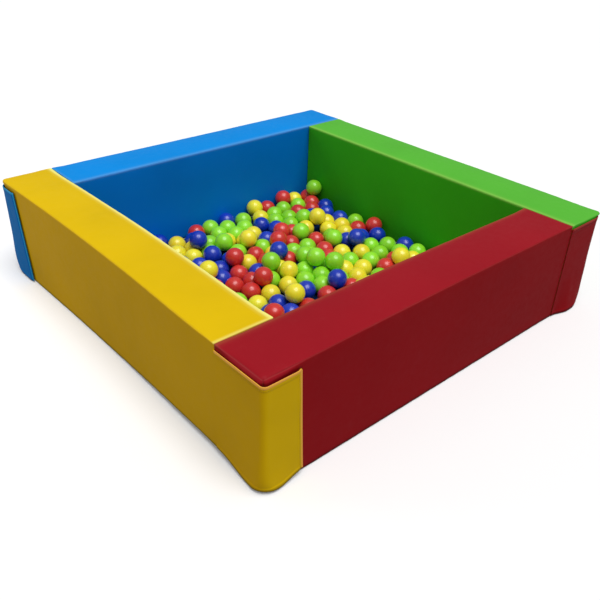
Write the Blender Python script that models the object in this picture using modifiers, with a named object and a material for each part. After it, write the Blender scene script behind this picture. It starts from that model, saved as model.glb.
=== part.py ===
"""Soft-play ball pit: four foam walls in vinyl covers, corner flaps, a floor mat and a loose fill of balls.

The four walls are one design, turned by a quarter about the pit's centre. Each runs from its own outer
corner to the inner face of the next wall. There it butts, and its flap wraps round that wall's end.
Metres, +Z up, origin on the ground at the pit's centre. The first wall lies on the -Y side.
"""

import math
import random

import bmesh
import bpy
import numpy as np
from mathutils import Matrix, Vector

OBJECT_NAME = "soft_ball_pit"

# Overall sizes
SIDE = 1.2
WALL_THICKNESS = 0.15
WALL_HEIGHT = 0.285  # to the seams along the top edges
TOP_CROWN = 0.005  # how far the padded top rises above its seams

# Clearances
TOUCH_GAP = 0.0003  # between pieces that touch
BUTT_GAP = 0.0005  # between a wall's end and the wall that it meets
CUT_OVERRUN = 0.01  # how far a cutter stands out of what it cuts

# Wall cover and foam
COVER_THICKNESS = 0.0015
EDGE_RADIUS = 0.009
EDGE_STEPS = 2
CROWN_CUTS_ALONG = 5
CROWN_CUTS_ACROSS = 3
CROWN_POWER = 4  # the crown falls off this steeply towards the wall's ends
FLAT_ANGLE = math.radians(0.5)
SHARP_ANGLE = math.radians(30)

# Zip channel in the underside
CHANNEL_WIDTH = 0.036
CHANNEL_DEPTH = 0.009
CHANNEL_END_MARGIN = 0.06
SLOT_WIDTH = 0.014
SLOT_END_MARGIN = 0.012

# Zip
TAPE_WIDTH = 0.028
TAPE_THICKNESS = 0.0008
TAPE_END_MARGIN = 0.004
CHAIN_WIDTH = 0.0056
CHAIN_HEIGHT = 0.0022
CHAIN_BITE = 0.0003  # how far the chain is sunk into the tape
SLIDER_LENGTH = 0.015
SLIDER_WIDTH = 0.0105
SLIDER_HEIGHT = 0.005
SLIDER_NOSE_SHARE = 0.68  # width of the closing end over the full width
SLIDER_BEVEL = 0.0008
SLIDER_END_GAP = 0.006  # from the chain's end to the closed slider
GROOVE_GAP = 0.0004  # between the chain and the slider's groove

# Corner flap and its hook-and-loop strips
FLAP_THICKNESS = 0.002
FLAP_RETURN = 0.095  # length of the leg that goes round the corner
FLAP_TOP_DROP = 0.015  # from the wall's top seam to the flap's hem
FLAP_BOTTOM = 0.003  # from the ground to the flap's hem
FLAP_BEND_RADIUS = 0.011
FLAP_BEND_STEPS = 4
FLAP_SEAM_CORNER_RADIUS = 0.02
FLAP_FREE_CORNER_RADIUS = 0.007
FLAP_CORNER_STEPS = 3
STRIP_THICKNESS = 0.0015
STRIP_WIDTH = 0.05
STRIP_EDGE_MARGIN = 0.012  # from the flap's free edge
STRIP_END_MARGIN = 0.022  # from the flap's top and bottom hems
STRIP_CORNER_RADIUS = 0.004

# Floor mat
MAT_THICKNESS = 0.003
MAT_SIDE_GAP = 0.003
MAT_EDGE_RADIUS = 0.001

# Balls
BALL_DIAMETER = 0.057
BALL_SEGMENTS = 6
BALL_RINGS = 4
BALL_TWIST = math.radians(10)  # keeps the facets of joined balls from meeting edge on edge
BALLS_PER_GROUP = 12
LOOSE_BALLS = 11
FUSE_DEPTH = 0.0004  # how far touching balls of one group run into each other
TOUCH_TOLERANCE = 0.0006
FILL_SEED = 1
DROP_TRIES = 16
DROP_REACH_SHARES = (0.25, 0.75)  # how far off a ball's centre the next is dropped
DROP_DIRECTIONS = 12
FIRST_STEP_SHARE = 0.2  # of the ball's radius
LAST_STEP_SHARE = 0.0005
HALF_SHARE = 0.5
ROW_SHIFT_SHARE = 0.12  # of a grid step, to the left and right by turns
LOOSE_REACH_SHARE = 0.7  # of the way to a wall, for where the loose balls are dropped
LANDING_HALVINGS = 14

BLUE, GREEN, RED, YELLOW = "blue", "green", "red", "yellow"
WALL_ORDER = (RED, GREEN, BLUE, YELLOW)  # each is a quarter turn on from the one before

# One ball cluster starts at each place of this grid, back row first, left to right
GROUP_ROWS = (
    (RED, YELLOW, GREEN, BLUE, RED),
    (GREEN, BLUE, YELLOW, RED, BLUE),
    (YELLOW, RED, GREEN, YELLOW, GREEN),
    (BLUE, YELLOW, RED, BLUE, RED),
)
CORNER_BALL_SHARES = (0.99, 0.9)  # the first loose ball lies by itself in the back right corner
LOOSE_COLOURS = (GREEN, YELLOW, GREEN, BLUE, YELLOW, RED, GREEN, YELLOW, BLUE, GREEN, RED)

VINYL_COLOURS = {
    BLUE: (0.005, 0.25, 0.72),
    GREEN: (0.08, 0.44, 0.04),
    RED: (0.30, 0.012, 0.02),
    YELLOW: (0.76, 0.50, 0.01),
}
BALL_COLOURS = {
    BLUE: (0.01, 0.05, 0.55),
    GREEN: (0.15, 0.62, 0.02),
    RED: (0.62, 0.02, 0.02),
    YELLOW: (0.85, 0.62, 0.02),
}
VINYL_ROUGHNESS = 0.42
BALL_ROUGHNESS = 0.25
FOAM_COLOUR, FOAM_ROUGHNESS = (0.75, 0.73, 0.66), 0.95
STRIP_COLOUR, STRIP_ROUGHNESS = (0.02, 0.02, 0.022), 0.9
TAPE_COLOUR, TAPE_ROUGHNESS = (0.03, 0.03, 0.03), 0.7
SLIDER_COLOUR, SLIDER_ROUGHNESS = (0.55, 0.55, 0.56), 0.35
MAT_COLOUR = (0.01, 0.05, 0.18)

# Places that follow from the sizes
HALF_SIDE = SIDE / 2
WALL_START = -HALF_SIDE
WALL_END = HALF_SIDE - WALL_THICKNESS - BUTT_GAP
WALL_OUTER = -HALF_SIDE
WALL_INNER = -HALF_SIDE + WALL_THICKNESS
WALL_MIDDLE = (WALL_OUTER + WALL_INNER) / 2
PIT_HALF = HALF_SIDE - WALL_THICKNESS
CHANNEL_START = WALL_START + CHANNEL_END_MARGIN
CHANNEL_END = WALL_END - CHANNEL_END_MARGIN
TAPE_BOTTOM = CHANNEL_DEPTH - TOUCH_GAP - TAPE_THICKNESS
BALL_RADIUS = BALL_DIAMETER / 2
BALL_SPACING = BALL_DIAMETER + TOUCH_GAP
MAT_BALL_HEIGHT = MAT_THICKNESS + TOUCH_GAP + BALL_RADIUS
BALL_LIMIT = PIT_HALF - TOUCH_GAP - BALL_RADIUS


def clear_scene():
    for old in list(bpy.data.objects):
        bpy.data.objects.remove(old, do_unlink=True)


def new_collection(name):
    collection = bpy.data.collections.new(name)
    bpy.context.scene.collection.children.link(collection)
    return collection


def finish(obj, colour, roughness, metallic=0.0):
    """Give the object a material of its own."""
    material = bpy.data.materials.new(obj.name + "_finish")
    material.use_nodes = True
    shader = material.node_tree.nodes["Principled BSDF"]
    shader.inputs["Base Color"].default_value = (*colour, 1.0)
    shader.inputs["Roughness"].default_value = roughness
    shader.inputs["Metallic"].default_value = metallic
    obj.data.materials.append(material)


def object_from(bm, name, collection, parent=None, at=(0, 0, 0)):
    """Turn the bmesh into an object with smooth shading and sharp edges kept."""
    mesh = bpy.data.meshes.new(name)
    bmesh.ops.recalc_face_normals(bm, faces=bm.faces)
    bm.to_mesh(mesh)
    bm.free()
    mesh.shade_smooth()
    mesh.set_sharp_from_angle(angle=SHARP_ANGLE)
    obj = bpy.data.objects.new(name, mesh)
    collection.objects.link(obj)
    obj.parent = parent
    obj.location = at
    return obj


def box(low, high):
    """A box between two corners."""
    bm = bmesh.new()
    bmesh.ops.create_cube(bm, size=1)
    low, high = Vector(low), Vector(high)
    bmesh.ops.scale(bm, vec=high - low, verts=bm.verts)
    bmesh.ops.translate(bm, vec=(low + high) / 2, verts=bm.verts)
    return bm


def edges_along(bm, axis):
    """The edges that run along one axis: 0, 1 or 2."""
    found = []
    for edge in bm.edges:
        run = edge.verts[1].co - edge.verts[0].co
        if abs(run[axis]) > max(abs(run[other]) for other in range(3) if other != axis):
            found.append(edge)
    return found


def bevel(bm, edges, radius, segments):
    bmesh.ops.bevel(
        bm, geom=edges, offset=radius, segments=segments, affect="EDGES", profile=0.5, clamp_overlap=True
    )


def cut(obj, cutter, operation="DIFFERENCE"):
    modifier = obj.modifiers.new(cutter.name, "BOOLEAN")
    modifier.operation = operation
    modifier.object = cutter


def as_cutter(bm, name, parent):
    cutter = object_from(bm, name, cutters, parent)
    cutter.hide_render = True
    cutter.display_type = "WIRE"
    return cutter


def raise_crown(bm, low, high):
    """Lift the top between its seams, highest in the middle and level at the ends."""
    centre = (Vector(low) + Vector(high)) / 2
    half = (Vector(high) - Vector(low)) / 2
    for vert in bm.verts:
        if vert.co.z < high[2] - TOUCH_GAP:
            continue
        along = abs((vert.co.x - centre.x) / half.x)
        across = abs((vert.co.y - centre.y) / half.y)
        vert.co.z += TOP_CROWN * max(0, 1 - along**CROWN_POWER) * max(0, 1 - across**2)


def padded_block(inset):
    """The wall's rounded block, drawn in by the inset on every side."""
    low = (WALL_START + inset, WALL_OUTER + inset, inset)
    high = (WALL_END - inset, WALL_INNER - inset, WALL_HEIGHT - inset)
    bm = box(low, high)
    bmesh.ops.subdivide_edges(bm, edges=edges_along(bm, 0), cuts=CROWN_CUTS_ALONG, use_grid_fill=True)
    bmesh.ops.subdivide_edges(bm, edges=edges_along(bm, 1), cuts=CROWN_CUTS_ACROSS, use_grid_fill=True)
    below_top = [vert for vert in bm.verts if vert.co.z < high[2] - TOUCH_GAP]
    raise_crown(bm, low, high)
    flat_edges = [edge for edge in bm.edges if edge.verts[0] in below_top or edge.verts[1] in below_top]
    bmesh.ops.dissolve_limit(bm, angle_limit=FLAT_ANGLE, verts=below_top, edges=flat_edges)
    sharp = [edge for edge in bm.edges if edge.calc_face_angle(0) > SHARP_ANGLE]
    seam = [edge for edge in sharp if is_flap_seam(edge, high[0], low[1])]
    bevel(bm, [edge for edge in sharp if edge not in seam], EDGE_RADIUS - inset, EDGE_STEPS)
    bmesh.ops.triangulate(bm, faces=bm.faces, quad_method="FIXED")
    return bm


def is_flap_seam(edge, end, outer):
    """Whether this is the upright edge between the wall's outer face and its butting end."""
    return all(abs(v.co.x - end) < TOUCH_GAP and abs(v.co.y - outer) < TOUCH_GAP for v in edge.verts)


def trough_block(grow):
    """The folded-up part of the underside, round the zip channel."""
    side = CHANNEL_WIDTH / 2 + COVER_THICKNESS + grow
    end = COVER_THICKNESS + grow
    return box(
        (CHANNEL_START - end, WALL_MIDDLE - side, -CUT_OVERRUN),
        (CHANNEL_END + end, WALL_MIDDLE + side, CHANNEL_DEPTH + COVER_THICKNESS + grow),
    )


def channel_block():
    side = CHANNEL_WIDTH / 2
    return box(
        (CHANNEL_START, WALL_MIDDLE - side, -CUT_OVERRUN), (CHANNEL_END, WALL_MIDDLE + side, CHANNEL_DEPTH)
    )


def slot_block():
    side = SLOT_WIDTH / 2
    return box(
        (CHANNEL_START + SLOT_END_MARGIN, WALL_MIDDLE - side, CHANNEL_DEPTH - CHAIN_HEIGHT),
        (CHANNEL_END - SLOT_END_MARGIN, WALL_MIDDLE + side, CHANNEL_DEPTH + COVER_THICKNESS + CHAIN_HEIGHT),
    )


def make_cover(colour, side):
    """The vinyl cover: a thin shell whose underside folds up into the zip channel and is open along it."""
    cover = object_from(padded_block(0), colour + "_cover", parts, side)
    hollow = as_cutter(padded_block(COVER_THICKNESS), colour + "_hollow", side)
    cut(hollow, as_cutter(trough_block(0), colour + "_trough", side))
    cut(cover, hollow)
    cut(cover, as_cutter(channel_block(), colour + "_channel", side))
    cut(cover, as_cutter(slot_block(), colour + "_slot", side))
    finish(cover, VINYL_COLOURS[colour], VINYL_ROUGHNESS)


def make_foam(colour, side):
    """The foam block that fills the cover, grooved for the zip channel."""
    foam = object_from(padded_block(COVER_THICKNESS + TOUCH_GAP), colour + "_foam_core", parts, side)
    cut(foam, as_cutter(trough_block(TOUCH_GAP), colour + "_foam_groove", side))
    finish(foam, FOAM_COLOUR, FOAM_ROUGHNESS)


def make_zip(colour, side):
    """The closed zip: its tape under the channel's roof and the chain of teeth along the tape's middle."""
    half_tape, half_chain = TAPE_WIDTH / 2, CHAIN_WIDTH / 2
    start, end = CHANNEL_START + TAPE_END_MARGIN, CHANNEL_END - TAPE_END_MARGIN
    tape = box(
        (start, WALL_MIDDLE - half_tape, TAPE_BOTTOM),
        (end, WALL_MIDDLE + half_tape, TAPE_BOTTOM + TAPE_THICKNESS),
    )
    chain = box(
        (start + TAPE_END_MARGIN, WALL_MIDDLE - half_chain, TAPE_BOTTOM - CHAIN_HEIGHT),
        (end - TAPE_END_MARGIN, WALL_MIDDLE + half_chain, TAPE_BOTTOM + CHAIN_BITE),
    )
    zip_tape = object_from(tape, colour + "_zip", parts, side)
    cut(zip_tape, as_cutter(chain, colour + "_zip_chain", side), "UNION")
    finish(zip_tape, TAPE_COLOUR, TAPE_ROUGHNESS)


def make_slider(colour, side):
    """The zip's slider, narrower at the closing end, with a groove that the chain runs through."""
    top = TAPE_BOTTOM - TOUCH_GAP
    body = box((0, -SLIDER_WIDTH / 2, -SLIDER_HEIGHT), (SLIDER_LENGTH, SLIDER_WIDTH / 2, 0))
    for vert in body.verts:
        if vert.co.x > 0:
            vert.co.y *= SLIDER_NOSE_SHARE
    upright = edges_along(body, 2)
    bevel(body, upright, SLIDER_BEVEL, 2)
    at = (CHANNEL_START + 2 * TAPE_END_MARGIN + SLIDER_END_GAP, WALL_MIDDLE, top)
    slider = object_from(body, colour + "_zip_slider", parts, side, at)
    groove_depth = CHAIN_HEIGHT + GROOVE_GAP
    half_groove = CHAIN_WIDTH / 2 + GROOVE_GAP
    groove = box(
        (-CUT_OVERRUN, -half_groove, -groove_depth), (SLIDER_LENGTH + CUT_OVERRUN, half_groove, CUT_OVERRUN)
    )
    groove_cutter = as_cutter(groove, colour + "_slider_groove", side)
    groove_cutter.location = at
    cut(slider, groove_cutter)
    finish(slider, SLIDER_COLOUR, SLIDER_ROUGHNESS, 1.0)


def flap_path():
    """The flap's centre line in plan, from its seam round the next wall's corner, relative to the seam."""
    long_leg = HALF_SIDE + strip_stack() + FLAP_THICKNESS / 2 - flap_axis().x
    bend = FLAP_BEND_RADIUS
    path = [Vector((0, 0, 0))]
    for step in range(FLAP_BEND_STEPS + 1):
        turn = math.pi / 2 * step / FLAP_BEND_STEPS
        path.append(Vector((long_leg - bend + bend * math.sin(turn), bend - bend * math.cos(turn), 0)))
    path.append(Vector((long_leg, FLAP_RETURN, 0)))
    return path


def flap_axis():
    """The seam that the flap swings about, at the height of its lower hem."""
    return Vector((WALL_END + TOUCH_GAP, WALL_OUTER - TOUCH_GAP - FLAP_THICKNESS / 2, FLAP_BOTTOM))


def strip_stack():
    """From the next wall's face to the flap: the loop strip, the hook strip and the gaps between."""
    return 2 * STRIP_THICKNESS + 3 * TOUCH_GAP


def flap_height():
    return WALL_HEIGHT - FLAP_TOP_DROP - FLAP_BOTTOM


def round_corners(bm, corners, radius):
    bmesh.ops.bevel(
        bm, geom=corners, offset=radius, segments=FLAP_CORNER_STEPS, affect="VERTICES", profile=0.5
    )


def make_flap(colour, side):
    """The L-shaped vinyl flap, sewn to this wall's end and wrapped round the next wall's corner."""
    bm = bmesh.new()
    row = [bm.verts.new(point) for point in flap_path()]
    lower = [bm.edges.new(pair) for pair in zip(row, row[1:])]
    made = bmesh.ops.extrude_edge_only(bm, edges=lower)["geom"]
    raised = [item for item in made if isinstance(item, bmesh.types.BMVert)]
    bmesh.ops.translate(bm, vec=(0, 0, flap_height()), verts=raised)
    round_corners(bm, [vert for vert in bm.verts if vert.co.x == 0], FLAP_SEAM_CORNER_RADIUS)
    round_corners(bm, [vert for vert in bm.verts if vert.co.y == FLAP_RETURN], FLAP_FREE_CORNER_RADIUS)
    flap = object_from(bm, colour + "_corner_flap", parts, side, flap_axis())
    sheet = flap.modifiers.new("vinyl", "SOLIDIFY")
    sheet.thickness = FLAP_THICKNESS
    sheet.offset = 0
    finish(flap, VINYL_COLOURS[colour], VINYL_ROUGHNESS)


def strip_block(inner):
    """A hook or loop strip on the return leg, with its inner face at this distance from the next wall."""
    far = WALL_OUTER + FLAP_RETURN - STRIP_EDGE_MARGIN
    low = FLAP_BOTTOM + STRIP_END_MARGIN
    high = FLAP_BOTTOM + flap_height() - STRIP_END_MARGIN
    bm = box((HALF_SIDE + inner, far - STRIP_WIDTH, low), (HALF_SIDE + inner + STRIP_THICKNESS, far, high))
    bevel(bm, edges_along(bm, 0), STRIP_CORNER_RADIUS, 2)
    return bm


def make_strips(colour, next_colour, side):
    """The hook strip sewn inside the flap's return leg, and the loop strip on the next wall."""
    loop = object_from(strip_block(TOUCH_GAP), next_colour + "_loop_strip", parts, side)
    hook = object_from(strip_block(2 * TOUCH_GAP + STRIP_THICKNESS), colour + "_hook_strip", parts, side)
    for strip in (loop, hook):
        finish(strip, STRIP_COLOUR, STRIP_ROUGHNESS)


def make_wall(turn, colour, next_colour):
    """One wall with everything on it, in the place that this many quarter turns give."""
    side = bpy.data.objects.new(colour + "_side", None)
    parts.objects.link(side)
    side.rotation_euler.z = turn * math.pi / 2
    make_cover(colour, side)
    make_foam(colour, side)
    make_zip(colour, side)
    make_slider(colour, side)
    make_flap(colour, side)
    make_strips(colour, next_colour, side)


def make_mat():
    """The thin mat that covers the ground inside the walls."""
    half = PIT_HALF - MAT_SIDE_GAP
    bm = box((-half, -half, 0), (half, half, MAT_THICKNESS))
    bevel(bm, list(bm.edges), MAT_EDGE_RADIUS, 2)
    mat = object_from(bm, "floor_mat", parts)
    finish(mat, MAT_COLOUR, VINYL_ROUGHNESS)


def heights_at(places, balls):
    """For each (x, y), how high a ball's centre is when the ball comes down on the mat and the balls."""
    heights = np.full(len(places), MAT_BALL_HEIGHT)
    if len(balls):
        apart = ((places[:, None, :] - balls[None, :, :2]) ** 2).sum(axis=2)
        room = BALL_SPACING**2 - apart
        on_ball = balls[None, :, 2] + np.sqrt(np.maximum(room, 0))
        heights = np.maximum(heights, np.where(room > 0, on_ball, 0).max(axis=1))
    return heights


def settle(x, y, balls):
    """Where a ball that is dropped at (x, y) comes to rest, rolling downhill over the balls under it."""
    turns = np.linspace(0, 2 * math.pi, DROP_DIRECTIONS, endpoint=False)
    compass = np.stack([np.cos(turns), np.sin(turns)], axis=1)
    here = np.clip(np.array([x, y]), -BALL_LIMIT, BALL_LIMIT)
    height = heights_at(here[None], balls)[0]
    step = BALL_RADIUS * FIRST_STEP_SHARE
    while step > BALL_RADIUS * LAST_STEP_SHARE and height > MAT_BALL_HEIGHT:
        around = np.clip(here + step * compass, -BALL_LIMIT, BALL_LIMIT)
        heights = heights_at(around, balls)
        best = int(heights.argmin())
        if heights[best] >= height:
            step /= 2
            continue
        before, here, height = here, around[best], heights[best]
        if height <= MAT_BALL_HEIGHT:
            here = land_beside(before, here, balls)
    return np.array([*here, height])


def land_beside(above, on_mat, balls):
    """The first point on the mat along the way down, so that the ball touches the one it rolled off."""
    for _ in range(LANDING_HALVINGS):
        middle = (above + on_mat) / 2
        if heights_at(middle[None], balls)[0] > MAT_BALL_HEIGHT:
            above = middle
        else:
            on_mat = middle
    return on_mat


def touching(ball, others):
    """How many of the others this ball touches."""
    apart = np.linalg.norm(np.array(others) - ball, axis=1)
    return int((apart < BALL_SPACING + TOUCH_TOLERANCE / 2).sum())


def ball_beside(group, balls, chance):
    """Of several places for a new ball that touches this group, the lowest, and then the best nestled."""
    places = []
    for _ in range(DROP_TRIES):
        start = group[chance.randrange(len(group))]
        turn = chance.uniform(0, 2 * math.pi)
        reach = BALL_DIAMETER * chance.uniform(*DROP_REACH_SHARES)
        ball = settle(start[0] + reach * math.cos(turn), start[1] + reach * math.sin(turn), balls)
        if touching(ball, group):
            places.append(ball)
    return min(places, key=lambda ball: (ball[2], -touching(ball, balls)), default=None)


def grid_places():
    """The start of each group: its colour and its place on the mat."""
    rows, columns = len(GROUP_ROWS), len(GROUP_ROWS[0])
    for row, colours in enumerate(GROUP_ROWS):
        for column, colour in enumerate(colours):
            shift = ROW_SHIFT_SHARE * (-1) ** row
            x = BALL_LIMIT * (2 * (column + HALF_SHARE + shift) / columns - 1)
            y = BALL_LIMIT * (1 - 2 * (row + HALF_SHARE) / rows)
            yield colour, np.array([x, y, MAT_BALL_HEIGHT])


def fill_groups(chance):
    """Grow every group by one ball at a time, so that they share the mat evenly."""
    colours, groups = [], []
    for colour, place in grid_places():
        colours.append(colour)
        groups.append([place])
    for _ in range(BALLS_PER_GROUP - 1):
        for group in groups:
            ball = ball_beside(group, np.array(sum(groups, [])), chance)
            if ball is not None:
                group.append(ball)
    return colours, groups


def add_loose_balls(balls, chance):
    """Balls that nothing lies on, each free to be lifted out."""
    x, y = (share * BALL_LIMIT for share in CORNER_BALL_SHARES)
    loose = [settle(x, y, np.array(balls))]
    while len(loose) < LOOSE_BALLS:
        x, y = (BALL_LIMIT * chance.uniform(-LOOSE_REACH_SHARE, LOOSE_REACH_SHARE) for _ in range(2))
        ball = settle(x, y, np.array(balls + loose))
        if min(np.linalg.norm((ball - other)[:2]) for other in loose) > BALL_SPACING:
            loose.append(ball)
    return loose


def partners_of(group):
    """For each ball of a group, the balls that it is joined to, so that the joints make a tree."""
    partners = [[] for _ in group]
    for index in range(1, len(group)):
        nearest = min(range(index), key=lambda other: np.linalg.norm(group[other] - group[index]))
        partners[index].append(group[nearest])
        partners[nearest].append(group[index])
    return partners


def contacts_of(ball, balls, partners):
    """Direction and reach of this ball's mesh towards each ball that it touches."""
    found = []
    for other in balls:
        apart = np.linalg.norm(other - ball)
        if not 0 < apart < BALL_SPACING + TOUCH_TOLERANCE:
            continue
        joined = any(other is partner for partner in partners)
        reach = apart / 2 + FUSE_DEPTH if joined else (apart - TOUCH_GAP) / 2
        found.append((Vector((other - ball) / apart), reach))
    return found


def ball_mesh(contacts):
    """A coarse ball with a vertex on each point where it touches another."""
    bm = bmesh.new()
    bmesh.ops.create_uvsphere(bm, u_segments=BALL_SEGMENTS, v_segments=BALL_RINGS, radius=BALL_RADIUS)
    if contacts:
        first = contacts[0][0]
        turn = math.atan2(first.y, first.x) + BALL_TWIST
        bmesh.ops.rotate(bm, verts=bm.verts, matrix=Matrix.Rotation(turn, 3, "Z"))
    free = list(bm.verts)
    for direction, reach in contacts:
        nearest = max(free, key=lambda vert: vert.co.dot(direction))
        nearest.co = direction * reach
        free.remove(nearest)
    bmesh.ops.triangulate(bm, faces=bm.faces)
    return bm


def make_ball_group(name, colour, group, balls):
    """Touching balls of one colour, joined where they touch."""
    partners = partners_of(group)
    meshes = [ball_mesh(contacts_of(ball, balls, joined)) for ball, joined in zip(group, partners)]
    joined = object_from(meshes[0], name, parts, None, group[0])
    if len(group) > 1:
        others = bpy.data.collections.new(name + "_others")
        cutters.children.link(others)
        for index, (bm, ball) in enumerate(zip(meshes[1:], group[1:])):
            helper = object_from(bm, name + "_" + str(index), others, None, ball)
            helper.hide_render = True
            helper.display_type = "WIRE"
        union = joined.modifiers.new("touching balls", "BOOLEAN")
        union.operation = "UNION"
        union.operand_type = "COLLECTION"
        union.collection = others
    finish(joined, BALL_COLOURS[colour], BALL_ROUGHNESS)


def make_balls():
    """The loose fill: groups of touching balls, and single balls on top of them."""
    chance = random.Random(FILL_SEED)
    colours, groups = fill_groups(chance)
    bed = sum(groups, [])
    loose = add_loose_balls(bed, chance)
    balls = bed + loose
    for index, (colour, group) in enumerate(zip(colours, groups)):
        make_ball_group("ball_cluster_" + str(index + 1).zfill(2), colour, group, balls)
    for index, (colour, ball) in enumerate(zip(LOOSE_COLOURS, loose)):
        make_ball_group(colour + "_loose_ball_" + str(index + 1).zfill(2), colour, [ball], balls)


clear_scene()
parts = new_collection(OBJECT_NAME)
cutters = new_collection(OBJECT_NAME + "_cutters")
for quarter, wall_colour in enumerate(WALL_ORDER):
    make_wall(quarter, wall_colour, WALL_ORDER[(quarter + 1) % len(WALL_ORDER)])
make_mat()
make_balls()
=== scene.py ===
"""Looks of the soft-play ball pit: sewn vinyl covers, wrapped corner flaps, balls, mat, zips and strips.

Each wall's pieces are modelled in the place of the red wall, on the -Y side, and turned by quarters about
the pit's centre. Metres, +Z up. What seats on a CAD solid takes its place from that solid's box. A pair whose
name ends in FADE says where a change begins and ends.
"""

import math
import random
from collections import namedtuple

import bpy
import numpy as np
from mathutils import Matrix, Vector, noise


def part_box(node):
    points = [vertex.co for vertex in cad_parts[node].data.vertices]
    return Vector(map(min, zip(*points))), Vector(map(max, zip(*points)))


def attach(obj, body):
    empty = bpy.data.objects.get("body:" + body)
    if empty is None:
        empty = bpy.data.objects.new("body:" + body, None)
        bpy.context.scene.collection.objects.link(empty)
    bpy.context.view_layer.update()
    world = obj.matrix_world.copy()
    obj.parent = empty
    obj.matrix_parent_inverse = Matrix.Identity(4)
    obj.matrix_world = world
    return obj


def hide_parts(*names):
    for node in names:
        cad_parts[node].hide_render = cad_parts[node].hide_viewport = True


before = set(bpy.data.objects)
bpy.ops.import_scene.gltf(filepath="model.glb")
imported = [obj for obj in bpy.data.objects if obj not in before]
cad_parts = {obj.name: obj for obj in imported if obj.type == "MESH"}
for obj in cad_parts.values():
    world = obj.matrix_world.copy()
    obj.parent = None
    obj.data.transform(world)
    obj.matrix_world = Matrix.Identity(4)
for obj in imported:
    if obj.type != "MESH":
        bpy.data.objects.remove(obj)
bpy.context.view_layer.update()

PIT = "pit"
WALLS = ("red", "green", "blue", "yellow")  # each is a quarter turn on from the one before
NEXT_WALL = dict(zip(WALLS, WALLS[1:] + WALLS[:1]))  # the wall that each one's flap wraps
WRAPPED_BY = {wall: colour for colour, wall in NEXT_WALL.items()}  # whose flap wraps each wall
MM = 0.001


def by_wall(*values):
    """One value for each wall, in the order of WALLS."""
    return dict(zip(WALLS, values))


SHARP_ANGLE = math.radians(40)
SEEDS = {"pucker": 1, "wave": 5, "flap": 20, "ripple": 21, "hook": 40, "loop": 60, "mat": 80}
SEED_SHIFTS = (3.7, 1.3, 2.1)

# Colours, linear
VINYL = by_wall((0.345, 0.010, 0.018), (0.110, 0.520, 0.045), (0.002, 0.275, 0.800), (0.790, 0.520, 0.003))
BALL = by_wall((0.680, 0.030, 0.024), (0.300, 0.800, 0.022), (0.002, 0.036, 0.520), (1.000, 0.840, 0.030))
HEM = by_wall((0.430, 0.050, 0.040), (0.300, 0.600, 0.120), (0.030, 0.330, 0.600), (1.000, 0.490, 0.080))
# Painted shade: the same vinyl on upright panels, painted deeper because they face away from the light above
SHADED_SIDE_VINYL = by_wall(
    (0.325, 0.006, 0.010), (0.045, 0.470, 0.012), (0.001, 0.210, 0.830), (0.700, 0.400, 0.001)
)
# Painted highlight along the inner top edge, where the rounded edge catches the light
RIM_HIGHLIGHT_COLOUR = (1.000, 1.000, 0.300)
RIM_HIGHLIGHT_SHARES = by_wall(0.05, 0.16, 0.08, 1.0)  # of the painted highlight, on the inner top edge
FLAP_PAINTED_SHADES = by_wall(0, 0, 0.5, 0)  # painted shade: how much darker a flap is painted than its wall, where it faces away from the light
DUST_COLOUR = (0.75, 0.72, 0.68)
# Paler seams: wear, and a painted highlight where the seams' edges catch the light
SEAM_WEAR_AND_HIGHLIGHT_COLOUR = (0.95, 0.85, 0.65)
MILKY_COLOUR = (0.9, 0.9, 0.8)
SCUFF_COLOUR = (0.9, 0.9, 0.9)
MAT_COLOUR = (0.006, 0.030, 0.120)
STRIP_COLOUR = (0.016, 0.016, 0.018)
TAPE_COLOUR = (0.022, 0.022, 0.024)
METAL_COLOUR = (0.560, 0.560, 0.570)
FLOOR_COLOUR = (0.900, 0.900, 0.900)
FLOOR_BOUNCE_COLOUR = (0.330, 0.330, 0.330)
FLOOR_GLOW = 0.12

# Wall cover
COVER_LOW, COVER_HIGH = (np.array(corner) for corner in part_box("red_cover"))
SEAM_HEIGHT = 285 * MM
SEAM_CORNER = np.array([*COVER_HIGH[:2], SEAM_HEIGHT])  # the cover's high corner without the crown
WALL_MIDDLE = (COVER_LOW[1] + COVER_HIGH[1]) / 2
SEAM_OFFSETS = tuple(offset * MM for offset in (0, 0.8, 1.8, 3.2, 5.5, 9, 14))
COVER_STEPS = (5 * MM, 9 * MM, 10 * MM)  # along, across, up
CROWN = COVER_HIGH[2] - SEAM_HEIGHT
CROWN_POWER = 4
EDGE_RADIUS = 3.5 * MM
BUTT_EDGE_RADIUS = 2.2 * MM
START_EDGE_RADII = by_wall(16 * MM, 6 * MM, 6 * MM, 6 * MM)
CORNER_EDGE_RADIUS = 26 * MM
START_FADE = (25 * MM, 110 * MM)
CORNER_FADE = (30 * MM, 130 * MM)
BUTT_FADE = (15 * MM, 50 * MM)
INNER_FADE = (20 * MM, 60 * MM)
GROOVE_DEPTH = 0.9 * MM
GROOVE_WIDTH = 1.5 * MM
PUCKER_DEPTH = 1.0 * MM
PUCKER_REACH = 13 * MM
PUCKER_WAVES = 62  # to the metre
WAVE_DEPTH = 1.8 * MM
WAVE_WAVES = 5.5
WAVE_STRETCH = np.array([1, 1, 1.6])
WAVE_FADE = (0, 30 * MM)
CALM_SHARE = 0.25  # of the dents' depth, at the wall's two ends
BUTT_CALM_FADE = (4 * MM, 45 * MM)
START_CALM_FADE = (10 * MM, 60 * MM)
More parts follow.
